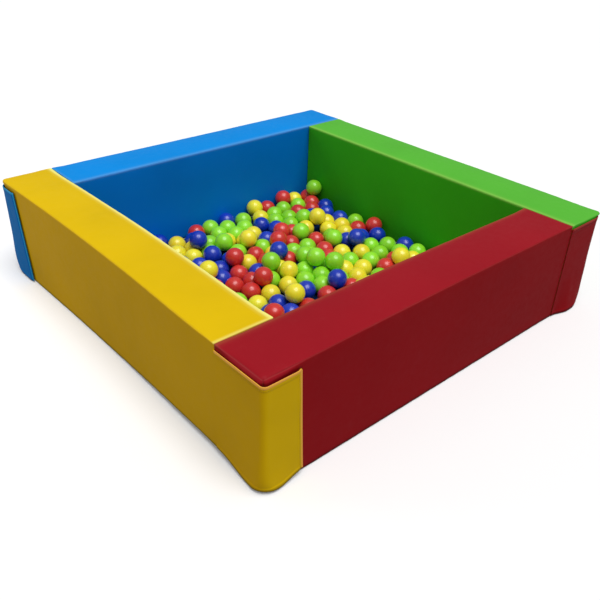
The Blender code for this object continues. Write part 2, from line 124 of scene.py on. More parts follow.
# How far each wall bows in toward the pit at mid-length, at the ground and at the top seam
BOWS = by_wall((0, 4 * MM), (0, 0), (0, 2 * MM), (8 * MM, 8 * MM))
BOW_FADE = (110 * MM, SEAM_HEIGHT - 20 * MM)  # from the top of the balls to just below the seam
# Painted highlight on the inner top edge
RIM_WIDTH = 12 * MM
RIM_FLATNESS = 2
RIM_POWER = 4
BUTT_RIM = 0.5  # how strong and how wide the painted highlight is at the butt end
SEAM_WEAR_AND_HIGHLIGHT_WIDTH = 2.2 * MM
CREASE_SHADE = 0.45
CREASE_FADE = (1 * MM, 4 * MM)  # above the flap's top
# Painted shadow along the foot of the covers and flaps
BASE_SHADE = 1.0
BASE_FADE = (2 * MM, 12 * MM)
TOP_FACING_FADE = (0.05, 0.4)  # how much a face looks up, from a side panel in painted shade to a top panel
RECESS_SIDE = 4 * MM
RECESS_ROOF = 0.3 * MM
RECESS_BELOW = 10 * MM

# Soft corner that a flap wraps, by the flap's colour. Its radius at the ground is wider than the bend above.
# flare_at is a share of the flap's length, and the rest are metres.
CornerLook = namedtuple(
    "CornerLook", "bend radius start_rise hem_rise end_rise hem_flare flare_at top_lift end_low end_high"
)
CORNER_LOOKS = by_wall(
    CornerLook(34 * MM, 78 * MM, 0, 0, 0, 14 * MM, 0.26, 4 * MM, 0, 0),
    CornerLook(11 * MM, 56 * MM, 0, 5 * MM, 4 * MM, 4 * MM, 0.6, 0, 0, 0),
    CornerLook(28 * MM, 76 * MM, 0, 3 * MM, 0, 4 * MM, 0.6, -1 * MM, 30 * MM, -10 * MM),
    CornerLook(11 * MM, 40 * MM, 14 * MM, 4 * MM, 11 * MM, 7 * MM, 0.6, 1 * MM, 9 * MM, -2 * MM),
)
CORNER_HEIGHT = 130 * MM
CORNER_POWER = 7
TOP_BEND = 11 * MM
TOP_BEND_RISE = 6 * MM
LIFT_REACH = 600 * MM
LIFT_END = 20 * MM
LIFT_WIDTH = 40 * MM
LIFT_HEIGHT = 60 * MM
WORN_LIFT = 1 * MM  # how much higher the wall's edge is than the flap on it

# Corner flap. Shares are of its length.
FLAP_LOW, FLAP_HIGH = (np.array(corner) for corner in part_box("red_corner_flap"))
FLAP_TOPS = {colour: FLAP_HIGH[2] + look.top_lift for colour, look in CORNER_LOOKS.items()}
FLAP_THICKNESS = 1.4 * MM
FLAP_CAD_THICKNESS = 2 * MM
FLAP_GAP = 0.3 * MM
FLAP_AXIS = np.array([FLAP_LOW[0], COVER_LOW[1] - FLAP_GAP - FLAP_CAD_THICKNESS / 2])
FLAP_LONG = FLAP_HIGH[0] - FLAP_CAD_THICKNESS / 2 - FLAP_AXIS[0]
FLAP_RETURN = FLAP_HIGH[1] - FLAP_AXIS[1]
FLAP_LENGTH = FLAP_LONG + FLAP_RETURN
FLAP_HEIGHT = FLAP_HIGH[2] - FLAP_LOW[2]
BEND_SHARE = FLAP_LONG / FLAP_LENGTH
WRAP_SLACK = 1 * MM
HEM_RISE_SHARE = 0.22
START_RISE_SHARE = 0.5
END_RISE_GAP = 0.08
FLARE_START = 0.02
FLARE_FADE = (0.1, 0.5)  # beyond flare_at
RETURN_PAINTED_LIGHT = 0.8  # painted light: how much of the way to the top panels' colour the flap's return leg goes, as it faces the light more
PALE_GAP = 0.05
WAVES_START = 0.06
FLAP_WAVES = 14
FLAP_WAVE_DEPTH = 1 * MM
FLAP_RIPPLES = 34
FLAP_RIPPLE_DEPTH = 0.5 * MM
RIPPLE_STRETCH = np.array([1, 0.3, 1])
RIPPLE_POWER = 1.5
OFF_WALL = (-0.2 * MM, 3 * MM)  # the least and the most that the waves may reach
FREE_EDGE_TUCK = 3 * MM
HEM_OFFSETS = tuple(offset * MM for offset in (0, 0.5, 1.2, 2.5, 4.5, 7, 9.5, 10.6, 11.2, 12, 14, 18))
HINGE_OFFSETS = tuple(offset * MM for offset in (0, 4, 9, 14, 18))
FLAP_STEP = 4 * MM
HEM_WIDTH = 11 * MM
HEM_RISE = 0.6 * MM
HEM_STEP = 0.6 * MM
HEM_EDGE_FADE = (-0.5 * MM, 1.5 * MM)
# Painted shadow at the flap's foot
FLAP_BASE_FADE = (0, 10 * MM)
BORDER_START = 4 * MM
BINDING_FOOT = 1 * MM
BINDING_WIDTH = 6 * MM
BINDING_HEIGHT = 1 * MM
BINDING_OVERHANG = 1 * MM
BINDING_PROFILE = (
    (-0.5, -1.0), (-0.5, 0.25), (-0.3, 0.55), (0, 0.65), (0.3, 0.55), (0.5, 0.25), (0.5, -1.0)
)
STITCH_LENGTH = 3.0 * MM
STITCH_STEP = 4.2 * MM
STITCH_RADIUS = 0.35 * MM
STITCH_INSET = 2.2 * MM
STITCH_RISE = 0.05 * MM
STITCH_RINGS = ((-0.5, 0.15), (-0.3, 0.9), (0.0, 1.0), (0.3, 0.9), (0.5, 0.15))  # along, radius
STITCH_SIDES = 5
WELT_RADIUS = 3.2 * MM
WELT_PLACE = (FLAP_AXIS[0] - 0.9 * MM, COVER_LOW[1] + 3.2 * MM)
WELT_BUMPS = 0.15 * MM
WELT_WAVES = 45
WELT_RINGS, WELT_SIDES = 50, 10

# Hook and loop strips
STRIP_LOW, STRIP_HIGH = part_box("red_hook_strip")
STRIP_THICKNESS = STRIP_HIGH.x - STRIP_LOW.x
STRIP_GAP = 0.3 * MM
STRIP_OFFS = {"hook": -(FLAP_CAD_THICKNESS / 2 + STRIP_GAP + STRIP_THICKNESS / 2)}
STRIP_OFFS["loop"] = STRIP_OFFS["hook"] - STRIP_THICKNESS - STRIP_GAP
STRIP_COLUMNS, STRIP_ROWS = 14, 56
PILE_WAVES = 90
PILE_DEPTH = 0.12 * MM
PILE_EDGE = -0.25 * MM

# Zips
TAPE_THICKNESS = 0.8 * MM
TAPE_COLUMNS, TAPE_ROWS = 240, 17
RIDGE_HEIGHT = 0.15 * MM
RIDGE_WAVES = 700
RIDGE_LEVEL = 0.6
RIDGE_SIDE = 8 * MM
TEETH_INSET = 5 * MM
TOOTH_PITCH = 1.5 * MM
TOOTH_HALF = np.array([0.5 * MM, 2.3 * MM])
TOOTH_SHIFT = 0.35 * MM
TOOTH_GAPS = (0.1 * MM, 0.02 * MM)  # below the teeth and above them
TOOTH_BEVEL = 0.25 * MM
PULL_START = 5 * MM
PULL_LENGTH = 24 * MM
PULL_RADIUS = 2.75 * MM
PULL_THICKNESS = 1.1 * MM
PULL_HOLE = 1.3 * MM
PULL_GAP = 0.1 * MM
PULL_SIDES = 24

# Floor mat
MAT_STEP = 12 * MM
MAT_LAYERS = 4
MAT_EDGE_RADIUS = 1.2 * MM
MAT_WAVE_DEPTH = 0.9 * MM
MAT_WAVES = 7
MAT_WORN_WIDTH = 1.5 * MM

# Balls
BALL_DIAMETER = 57 * MM
BALL_RADIUS = BALL_DIAMETER / 2
BALL_SEGMENTS = 28
BALL_ANGLES = (
    *(2.2, 3.6, 4.6, 8, 15, 24, 34, 44, 54, 64, 73, 81, 87, 89),
    *(90, 91, 93, 99, 107, 116, 126, 136, 146, 156, 165, 173),
)
FILLING_HOLE_ANGLE = 4
FILLING_HOLE_DEPTH = 0.5 * MM
MOULDING_SEAM = 0.16 * MM
PAIR_TOLERANCE = 0.02 * MM
GROUP_TOLERANCE = 5 * PAIR_TOLERANCE
LEAST_PAIRS = 3
FILL_SEED = 11
CLUMP_CHANCE = 0.94
OTHER_COLOURS = [colour for colour in ("green", "yellow", "red", "blue") for _ in range(3)]
# Clumps of one colour that the photograph shows: colour, place as shares of half the pit, and reach
CLUMP_SHARES = (
    ("red", 0.88, 0.77, 0.11), ("green", 0.72, 0.89, 0.10), ("green", 0.48, 0.75, 0.13),
    ("blue", 0.95, 0.61, 0.14), ("blue", 0.08, 1.03, 0.12), ("green", 0.14, 0.85, 0.14),
    ("green", -0.10, 0.87, 0.12), ("blue", -0.37, 0.42, 0.19), ("green", -0.15, 0.55, 0.11),
    ("yellow", 0.04, 0.63, 0.13), ("green", 0.14, 0.29, 0.09), ("blue", 0.25, 0.63, 0.13),
    ("red", 0.42, 0.42, 0.15), ("yellow", 0.75, 0.53, 0.09), ("yellow", 0.80, 0.29, 0.09),
    ("green", 0.58, 0.26, 0.10), ("blue", 0.70, 0.11, 0.09), ("yellow", 0.52, 0.07, 0.11),
    ("yellow", 0.63, -0.03, 0.12), ("green", 0.84, -0.15, 0.14), ("red", 0.67, -0.32, 0.08),
    ("red", 0.06, 0.30, 0.14), ("yellow", -0.19, 0.32, 0.08), ("red", -0.38, 0.11, 0.14),
    ("yellow", -0.36, -0.13, 0.12), ("blue", -0.30, -0.30, 0.11), ("green", 0.15, -0.05, 0.21),
    ("green", 0.07, -0.21, 0.14), ("green", 0.44, -0.12, 0.12), ("yellow", 0.35, -0.29, 0.13),
    ("yellow", -0.44, 0.84, 0.10), ("yellow", -0.11, 0.01, 0.08), ("green", -0.22, -0.02, 0.09),
)

# Stage
FLOOR_SIZE = 14
SKY_ENERGY = 2.35
SKY_ANGLE = math.radians(42)
SKY_SIDE = (-0.03, -0.30, 0.95)  # where the light is, seen from the pit
ROOM_STRENGTH = 0.29
FILL_PLACE = (-2.3, 1.5, 0.9)
FILL_ENERGY = 9
FILL_SIZE = 1.2
CAMERA_LENS = 41.7694857
CAMERA_SENSOR = 36
CAMERA_PLACE = (-1.2131371, -1.3657580, 1.0556384)
CAMERA_DEGREES = (58.5500555, -1.7571753, -41.2112574)


def smooth_step(value, start, end):
    """0 before start, 1 after end, and a smooth rise between."""
    share = np.clip((np.asarray(value, float) - start) / (end - start), 0, 1)
    return share * share * (3 - 2 * share)


def noise_at(points, scale, kind, colour=WALLS[0]):
    """Smooth noise from about -1 to 1 at each point, of its own for each kind and wall."""
    seed = SEEDS[kind] + WALLS.index(colour)
    shift = Vector([seed * by for by in SEED_SHIFTS])
    return np.array([noise.noise(Vector(point) * scale + shift) for point in points])


def circle(sides):
    """Points round a circle of radius 1."""
    turns = [2 * math.pi * step / sides for step in range(sides)]
    return [(math.cos(turn), math.sin(turn)) for turn in turns]


def tube_faces(rings, sides, base=0):
    """Faces of a closed tube whose vertices run ring by ring from a base."""
    faces = []
    for start in range(base, base + (rings - 1) * sides, sides):
        for step in range(sides):
            a, b = start + step, start + (step + 1) % sides
            faces.append((a, b, b + sides, a + sides))
    last = base + (rings - 1) * sides
    faces.append(tuple(range(base, base + sides))[::-1])
    faces.append(tuple(range(last, last + sides)))
    return faces


def boxes_mesh(boxes):
    """Vertices and faces of many boxes, given as (low, high) corners."""
    points, faces = [], []
    pattern = [(0, 1, 3, 2), (4, 6, 7, 5), (0, 4, 5, 1), (2, 3, 7, 6), (0, 2, 6, 4), (1, 5, 7, 3)]
    for low, high in boxes:
        base = len(points)
        points += [(x, y, z) for x in (low[0], high[0]) for y in (low[1], high[1]) for z in (low[2], high[2])]
        faces += [tuple(base + corner for corner in face) for face in pattern]
    return points, faces


def add_object(name, data):
    obj = bpy.data.objects.new(name, data)
    bpy.context.scene.collection.objects.link(obj)
    return obj


def make_object(name, points, faces, material):
    mesh = bpy.data.meshes.new(name)
    mesh.from_pydata([tuple(point) for point in points], [], faces)
    mesh.materials.append(material)
    mesh.shade_smooth()
    mesh.set_sharp_from_angle(angle=SHARP_ANGLE)
    mesh.update()
    return add_object(name, mesh)


def set_attribute(obj, name, values):
    attribute = obj.data.attributes.new(name, "FLOAT", "POINT")
    attribute.data.foreach_set("value", np.asarray(values, np.float32))


def set_all(thing, settings):
    for setting, value in settings.items():
        setattr(thing, setting, value)


def modify(obj, kind, **settings):
    """Add a modifier and apply it."""
    set_all(obj.modifiers.new(kind, kind), settings)
    graph = bpy.context.evaluated_depsgraph_get()
    evaluated = obj.evaluated_get(graph)
    mesh = bpy.data.meshes.new_from_object(evaluated, preserve_all_data_layers=True, depsgraph=graph)
    obj.modifiers.clear()
    obj.data = mesh


def to_wall(obj, colour):
    """Turn a piece from the red wall's place to another wall's."""
    obj.data.transform(Matrix.Rotation(WALLS.index(colour) * math.pi / 2, 4, "Z"))
    obj.data.update()


# Materials


class Nodes:
    """A material's node tree, with short ways to add to it."""

    def __init__(self, name):
        self.material = bpy.data.materials.new(name)
        self.material.use_nodes = True
        self.tree = self.material.node_tree
        self.shader = self.tree.nodes["Principled BSDF"]
        self.place = self.add("TexCoord").outputs["Object"]

    def add(self, kind, inputs=None, **settings):
        node = self.tree.nodes.new("ShaderNode" + kind)
        set_all(node, settings)
        for name, value in (inputs or {}).items():
            node.inputs[name].default_value = value
        return node

    def link(self, source, target):
        self.tree.links.new(source, target)

    def texture(self, kind, output, inputs, place=None, **settings):
        node = self.add("Tex" + kind, inputs, **settings)
        self.link(place or self.place, node.inputs["Vector"])
        return node.outputs[output]

    def noise(self, scale, detail=3, roughness=0.5, stretch=None):
        inputs = {"Scale": scale, "Detail": detail, "Roughness": roughness}
        return self.texture("Noise", "Fac", inputs, stretch and self.stretched(stretch))

    def stretched(self, stretch):
        mapping = self.add("Mapping", {"Scale": stretch})
        self.link(self.place, mapping.inputs["Vector"])
        return mapping.outputs["Vector"]

    def wave(self, scale, direction, distortion=0):
        inputs = {"Scale": scale, "Distortion": distortion}
        return self.texture("Wave", "Fac", inputs, bands_direction=direction)

    def cells(self, scale):
        return self.texture("Voronoi", "Distance", {"Scale": scale})

    def attribute(self, name):
        return self.add("Attribute", attribute_name=name).outputs["Fac"]

    def between(self, value, given, wanted):
        """Map the given range of a value to the wanted range."""
        node = self.add("MapRange")
        for index, number in enumerate((*given, *wanted), 1):
            node.inputs[index].default_value = number
        self.link(value, node.inputs[0])
        return node.outputs[0]

    def mix(self, share, first, second):
        """Mix two colours, each a tuple or a socket."""
        node = self.add("Mix", data_type="RGBA")
        self.link(share, node.inputs[0])
        self.set(node.inputs[6], first)
        self.set(node.inputs[7], second)
        return node.outputs[2]

    def set(self, socket, value):
        """Give a socket a colour, a number or another socket's value."""
        if isinstance(value, tuple):
            socket.default_value = (*value, 1)
        elif isinstance(value, float):
            socket.default_value = value
        else:
            self.link(value, socket)

    def bump(self, height, distance, strength, normal=None):
        node = self.add("Bump", {"Distance": distance, "Strength": strength})
        self.link(height, node.inputs["Height"])
        if normal is not None:
            self.link(normal, node.inputs["Normal"])
        return node.outputs["Normal"]

    def finish(self, colour, roughness, normal, **numbers):
        for name, value in (("Base Color", colour), ("Roughness", roughness), ("Normal", normal)):
            self.set(self.shader.inputs[name], value)
        for name, value in numbers.items():
            self.shader.inputs[name.replace("_", " ")].default_value = value
        return self.material


def scaled(colour, factor):
    return tuple(min(1, channel * factor) for channel in colour)


def blended(colour, other, share):
    return tuple(a + (b - a) * share for a, b in zip(colour, other))


def vinyl_material(name, colour, shaded_side_colour=None):
    """Coated vinyl: fine grain, soft unevenness, light scuffs, and paler seams from wear and a painted
    highlight; side panels in painted shade, a painted highlight on the inner top edge, and painted shade and
    shadow.
    """
    nodes = Nodes(name)
    broad = nodes.noise(4, 4)
    # Painted shade: faces that look sideways take the deeper side colour
    panel = nodes.mix(nodes.attribute("side"), colour, shaded_side_colour or colour)
    base = nodes.mix(nodes.between(broad, (0.3, 0.7), (0, 0.14)), panel, nodes.mix(broad, panel, (0, 0, 0)))
    dust = nodes.between(nodes.noise(38, 6, 0.7), (0.56, 0.78), (0, 0.08))
    dusty = nodes.mix(dust, base, blended(colour, DUST_COLOUR, 0.08))
    # Paler seams from wear and a painted highlight
    worn = nodes.between(nodes.attribute("seam"), (0, 1), (0, 0.22))
    seamed = nodes.mix(worn, dusty, blended(scaled(colour, 1.1), SEAM_WEAR_AND_HIGHLIGHT_COLOUR, 0.12))
    # Painted highlight along the inner top edge
    rimmed = nodes.mix(nodes.attribute("rim"), seamed, blended(colour, RIM_HIGHLIGHT_COLOUR, 0.8))
    # Painted shade and shadow from the shade attribute
    final = nodes.mix(nodes.attribute("shade"), rimmed, scaled(colour, 0.25))
    normal = nodes.bump(nodes.noise(16), 0.9 * MM, 0.35)
    normal = nodes.bump(nodes.noise(240, 5, 0.65), 0.15 * MM, 0.4, normal)
    normal = nodes.bump(nodes.cells(1150), 0.12 * MM, 0.35, normal)
    rough = nodes.between(nodes.noise(55, 4, 0.6), (0.3, 0.7), (0.36, 0.50))
    return nodes.finish(final, rough, normal, IOR=1.48, Specular_IOR_Level=0.05)


def ball_material(name, colour):
    """Blow-moulded plastic: glossy, a little milky, with scuffs and a slight tint of its own on each ball."""
    nodes = Nodes(name)
    milky = blended(scaled(colour, 1.08), MILKY_COLOUR, 0.01)
    base = nodes.mix(nodes.attribute("tint"), scaled(colour, 0.88), milky)
    scuffs = nodes.between(nodes.noise(150, 6, 0.75, (1, 1, 0.4)), (0.60, 0.74), (0, 0.16))
    final = nodes.mix(scuffs, base, blended(colour, SCUFF_COLOUR, 0.35))
    rough = nodes.between(nodes.noise(90, 5, 0.6), (0.3, 0.75), (0.26, 0.38))
    normal = nodes.bump(nodes.noise(70), 0.5 * MM, 0.25)
    normal = nodes.bump(nodes.noise(900, 2), 0.05 * MM, 0.3, normal)
    milk = {"Subsurface_Weight": 0.12, "Subsurface_Scale": 0.006, "Subsurface_Radius": (1.0, 0.6, 0.35)}
    return nodes.finish(final, rough, normal, IOR=1.52, Coat_Weight=0.35, Coat_Roughness=0.20, **milk)


def thread_material(name, colour):
    nodes = Nodes(name)
    twist = nodes.wave(900, "DIAGONAL")
    shade = nodes.mix(twist, scaled(colour, 0.7), colour)
    return nodes.finish(shade, 0.65, nodes.bump(twist, 0.1 * MM, 0.6))


def woven_material(name, colour, threads, roughness):
    """A woven tape: two crossing rows of threads."""
    nodes = Nodes(name)
    both = nodes.add("Math", operation="MULTIPLY")
    for index, direction in enumerate("XY"):
        nodes.link(nodes.wave(threads, direction, 0.6), both.inputs[index])
    weave = both.outputs[0]
    shade = nodes.mix(weave, scaled(colour, 0.6), scaled(colour, 1.8))
    fuzz = nodes.bump(nodes.noise(1600, 4, 0.7), 0.2 * MM, 0.5)
    return nodes.finish(shade, roughness, nodes.bump(weave, 0.25 * MM, 0.8, fuzz))


def metal_material(name):
    nodes = Nodes(name)
    streaks = nodes.noise(420, 4, 0.6, (0.15, 1, 1))
    shade = nodes.mix(streaks, scaled(METAL_COLOUR, 0.85), scaled(METAL_COLOUR, 1.1))
    rough = nodes.between(streaks, (0.3, 0.7), (0.24, 0.42))
    return nodes.finish(shade, rough, nodes.bump(streaks, 0.03 * MM, 0.5), Metallic=1.0)


# Wall covers


def spaced(low, high, step, near_offsets=SEAM_OFFSETS, far_offsets=SEAM_OFFSETS):
    """Places from low to high, a step apart, and closer together near both ends."""
    near = [low + offset for offset in near_offsets]
    far = [high - offset for offset in reversed(far_offsets)]
    count = max(2, round((far[0] - near[-1]) / step))
    return np.array([*near, *np.linspace(near[-1], far[0], count + 1)[1:-1], *far])


def box_shell(rows):
    """A closed net of four-sided faces over a box, through every place of its three rows."""
    index, faces = {}, []
    for axis in range(3):
        first, second = (axis + 1) % 3, (axis + 2) % 3
        for side in (0, len(rows[axis]) - 1):
            for a in range(len(rows[first]) - 1):
                for b in range(len(rows[second]) - 1):
                    corners = []
                    for da, db in ((0, 0), (1, 0), (1, 1), (0, 1)):
                        key = [side] * 3
                        key[first], key[second] = a + da, b + db
                        corners.append(index.setdefault(tuple(key), len(index)))
                    faces.append(corners if side else corners[::-1])
    return np.array([[row[place] for row, place in zip(rows, key)] for key in index]), faces


def rounded(points, low, high, radius):
    """The points of a box's faces moved onto the box with round edges, and the way that each one faces."""
    inner = np.clip(points, low + radius, high - radius)
    away = points - inner
    facing = away / np.linalg.norm(away, axis=1, keepdims=True)
    return inner + facing * radius, facing


def seam_distance(points, low, high):
    """How far each point of a box's faces lies from the box's nearest edge."""
    return np.sort(np.minimum(points - low, high - points), axis=1)[:, 1]


def corner_radius(heights, wrapped_by):
    """The plan radius, at each height, of the outer corner that a flap of this colour wraps."""
    look, flap_top = CORNER_LOOKS[wrapped_by], FLAP_TOPS[wrapped_by]
    up = np.clip(np.asarray(heights) / CORNER_HEIGHT, 0, 1)
    bend = look.bend + (TOP_BEND - look.bend) * smooth_step(heights, flap_top, flap_top + TOP_BEND_RISE)
    return bend + (look.radius - look.bend) * (1 - up) ** CORNER_POWER


def edge_radii(points, colour):
    """The radius of the cover's edges near each point: tight where walls butt, wide at the outer corner."""
    start_radius = START_EDGE_RADII[colour]
    start = 1 - smooth_step(points[:, 0] - COVER_LOW[0], *START_FADE)
    corner = 1 - smooth_step(np.linalg.norm(points - COVER_LOW, axis=1), *CORNER_FADE)
    inner = 1 - smooth_step(COVER_HIGH[1] - points[:, 1], *INNER_FADE)
    butt = 1 - smooth_step(COVER_HIGH[0] - points[:, 0], *BUTT_FADE)
    radii = EDGE_RADIUS + (start_radius - EDGE_RADIUS) * start + (CORNER_EDGE_RADIUS - start_radius) * corner
    return (radii + (BUTT_EDGE_RADIUS - radii) * np.maximum(butt, start * inner))[:, None]


def round_corner(points, wrapped_by):
    """Round the wall's outer corner in plan, from a square to an arc whose radius grows toward the ground."""
    radius = corner_radius(points[:, 2], wrapped_by)
    a, b = ((radius - (points[:, axis] - COVER_LOW[axis])) / radius for axis in (0, 1))
    inside = (a > 0) & (b > 0)
    share = np.maximum(a, b) / np.where(inside, np.hypot(a, b), 1)
    for axis, within in enumerate((a, b)):
        moved = COVER_LOW[axis] + radius * (1 - within * share)
        points[:, axis] = np.where(inside, moved, points[:, axis])


def dent_depth(points, seam, colour):
    """How far the cover lies inside its box: a groove at the seams, puckers beside them, and broad waves."""
    pucker = 0.5 + 0.5 * noise_at(points, PUCKER_WAVES, "pucker", colour)
    wave = 0.5 + 0.5 * noise_at(points * WAVE_STRETCH, WAVE_WAVES, "wave", colour)
    depth = GROOVE_DEPTH * np.exp(-((seam / GROOVE_WIDTH) ** 2))
    depth += PUCKER_DEPTH * pucker * np.exp(-seam / PUCKER_REACH)
    depth += WAVE_DEPTH * wave * smooth_step(points[:, 2], *WAVE_FADE)
    butt = smooth_step(COVER_HIGH[0] - points[:, 0], *BUTT_CALM_FADE)
    start = smooth_step(points[:, 0] - COVER_LOW[0], *START_CALM_FADE)
    for free in (butt, start):
        depth *= CALM_SHARE + (1 - CALM_SHARE) * free
    return depth


def on_cover(points, colour):
    """Places on the sewn cover for points on its plain box, how far a seam is, and how much they face up."""
    placed, facing = rounded(points, COVER_LOW, SEAM_CORNER, edge_radii(points, colour))
    round_corner(placed, WRAPPED_BY[colour])
    seam = seam_distance(points, COVER_LOW, SEAM_CORNER)
    placed = placed - facing * dent_depth(points, seam, colour)[:, None]
    centre, half = (COVER_LOW + SEAM_CORNER) / 2, (SEAM_CORNER - COVER_LOW) / 2
    along, across, _ = (np.abs(points - centre) / half).T
    rise = CROWN * np.maximum(0, 1 - along**CROWN_POWER) * np.maximum(0, 1 - across**2)
    placed[:, 2] += rise * (points[:, 2] > SEAM_HEIGHT - 1 * MM)
    placed[:, 1] += bow_in(points, along, colour)
    placed[:, 2] += hem_lift(points, colour)
    return placed, seam, facing[:, 2]


def hem_lift(points, colour):
    """How far the cover's lower edge rises beside the seam of its own flap, and of the one that wraps it."""
    butt = smooth_step(points[:, 0], COVER_HIGH[0] - LIFT_REACH, COVER_HIGH[0] - LIFT_END)
    outer = 1 - smooth_step(points[:, 1] - COVER_LOW[1], 0, LIFT_WIDTH)
    own = CORNER_LOOKS[colour].start_rise * butt * outer
    end = 1 - smooth_step(points[:, 0] - COVER_LOW[0], 0, LIFT_WIDTH)
    inner = 1 - smooth_step((COVER_HIGH[1] - points[:, 1]) / FLAP_LENGTH, 0, START_RISE_SHARE)
    worn = (CORNER_LOOKS[WRAPPED_BY[colour]].start_rise + WORN_LIFT) * end * inner
    return np.maximum(own, worn) * (1 - smooth_step(points[:, 2], 0, LIFT_HEIGHT))


def bow_in(points, along, colour):
    """How far the cover moves toward the pit: most at mid-length, and not at all beside the balls."""
    at_ground, at_top = BOWS[colour]
    across = (points[:, 1] - COVER_LOW[1]) / (COVER_HIGH[1] - COVER_LOW[1])
    bow = (at_ground + (at_top - at_ground) * points[:, 2] / SEAM_HEIGHT) * (1 - along**2) ** 2
    return bow * (1 - across * (1 - smooth_step(points[:, 2], *BOW_FADE)))


def inner_rim_highlight(points):
    """Where the painted highlight lies: 1 on the cover's top edge toward the pit, less at its butt end, and 0
    a few millimetres from them.
    """
    down = RIM_FLATNESS * (SEAM_HEIGHT - points[:, 2])
    inner, butt = (
        np.exp(-((np.hypot(COVER_HIGH[axis] - points[:, axis], down) / width) ** RIM_POWER))
        for axis, width in ((1, RIM_WIDTH), (0, BUTT_RIM * RIM_WIDTH))
    )
    return np.maximum(inner, BUTT_RIM * butt)


def crease_shade(points, wrapped_by):
    """The shade on the cover where a flap wraps it, up to a few millimetres above the flap's top."""
    from_end, from_face = points[:, 0] - COVER_LOW[0], points[:, 1] - COVER_LOW[1]
    wrapped = np.maximum(from_end < 1 * MM, (from_face < 1 * MM) & (from_end < FLAP_RETURN))
    return CREASE_SHADE * wrapped * (1 - smooth_step(points[:, 2] - FLAP_TOPS[wrapped_by], *CREASE_FADE))


def base_shade(heights):
    """Painted shadow: the dark line where the cover meets the ground."""
    return BASE_SHADE * (1 - smooth_step(heights, *BASE_FADE))


def make_cover(colour):
    """The padded wall: foam in a sewn cover, with the zip's recess in the underside."""
    rows = [spaced(COVER_LOW[axis], SEAM_CORNER[axis], COVER_STEPS[axis]) for axis in range(3)]
    points, faces = box_shell(rows)
    placed, seam, facing_up = on_cover(points, colour)
    # Painted shade in the crease above a flap's top, and painted shadow at the foot
    shade = np.maximum(crease_shade(points, WRAPPED_BY[colour]), base_shade(points[:, 2]))
    cover = make_object(colour + "_wall_pad", placed, faces, vinyl[colour])
    # Paler seams from wear and a painted highlight
    set_attribute(cover, "seam", np.exp(-((seam / SEAM_WEAR_AND_HIGHLIGHT_WIDTH) ** 2)))
    # Painted highlight along the inner top edge
    set_attribute(cover, "rim", inner_rim_highlight(points) * RIM_HIGHLIGHT_SHARES[colour])
    set_attribute(cover, "shade", shade)
    # Painted shade on the side panels
    set_attribute(cover, "side", 1 - smooth_step(facing_up, *TOP_FACING_FADE))
    cut_recess(cover)
    to_wall(cover, colour)
    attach(cover, PIT)
    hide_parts(colour + "_cover", colour + "_foam_core")


def cut_recess(cover):
    """Cut the zip's recess out of the underside, round the CAD zip."""
    zip_low, zip_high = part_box("red_zip")
    low = (zip_low.x - RECESS_SIDE, zip_low.y - RECESS_SIDE, -RECESS_BELOW)
    high = (zip_high.x + RECESS_SIDE, zip_high.y + RECESS_SIDE, zip_high.z + RECESS_ROOF)
    cutter = make_object("recess_cutter", *boxes_mesh([(low, high)]), cover.data.materials[0])
    modify(cover, "BOOLEAN", operation="DIFFERENCE", object=cutter)
    bpy.data.objects.remove(cutter, do_unlink=True)


# Corner flaps


def on_wrap(run, height, colour):
    """A place on the wrapped flap, as run from its seam, and the way it faces.

    The part of the flap that the widest bend takes up is shared out along the narrower bend at each height.
    """
    radius = float(corner_radius(height, colour))
    reach = CORNER_LOOKS[colour].radius + WRAP_SLACK
    if run <= FLAP_LONG - reach:
        return (run, 0.0), (0.0, -1.0)
    if run >= FLAP_LONG + reach:
        return (FLAP_LONG, run - FLAP_LONG), (1.0, 0.0)
    straight, arc = reach - radius, radius * math.pi / 2
    path = (run - FLAP_LONG + reach) / (2 * reach) * (2 * straight + arc)
    if path < straight:
        return (FLAP_LONG - reach + path, 0.0), (0.0, -1.0)
    if path > straight + arc:
        return (FLAP_LONG, radius + path - straight - arc), (1.0, 0.0)
    turn = (path - straight) / radius
    facing = (math.sin(turn), -math.cos(turn))
    return (FLAP_LONG - radius + radius * facing[0], radius + radius * facing[1]), facing


def flap_place(share, up, out, colour):
    """A place on the wrapped flap, by shares of its length and height, and a distance off its middle."""
    look = CORNER_LOOKS[colour]
    corner = math.exp(-(((share - BEND_SHARE) / HEM_RISE_SHARE) ** 2))
    end = float(smooth_step(share, BEND_SHARE + END_RISE_GAP, 1))
    start = 1 - float(smooth_step(share, 0, START_RISE_SHARE))
    rise = max(look.start_rise * start, look.hem_rise * corner, look.end_rise * end) * (1 - up) ** 2
    height = FLAP_LOW[2] + rise + (FLAP_HEIGHT + look.top_lift) * up
    further = (look.end_low * (1 - up) + look.end_high * up) * end
    (x, y), facing = on_wrap(share * FLAP_LENGTH + further, height, colour)
    flare = smooth_step(share, FLARE_START, look.flare_at)
    flare = flare * (1 - smooth_step(share - look.flare_at, *FLARE_FADE))
    off = out + look.hem_flare * (1 - up) ** 3 * flare
    off -= FREE_EDGE_TUCK * smooth_step(share, 1 - HEM_WIDTH / FLAP_LENGTH, 1)
    return FLAP_AXIS[0] + x + facing[0] * off, FLAP_AXIS[1] + y + facing[1] * off, height


def wrapped_sheet(name, shares, heights, outer, inner, colour, material):
    """A closed sheet wrapped as the flap is, between two grids of distances off the flap's middle."""
    points = [
        flap_place(share, up, off[row][column], colour)
        for off in (outer, inner)
        for row, up in enumerate(heights)
        for column, share in enumerate(shares)
    ]
    return make_object(name, points, sheet_faces(len(shares), len(heights)), material)


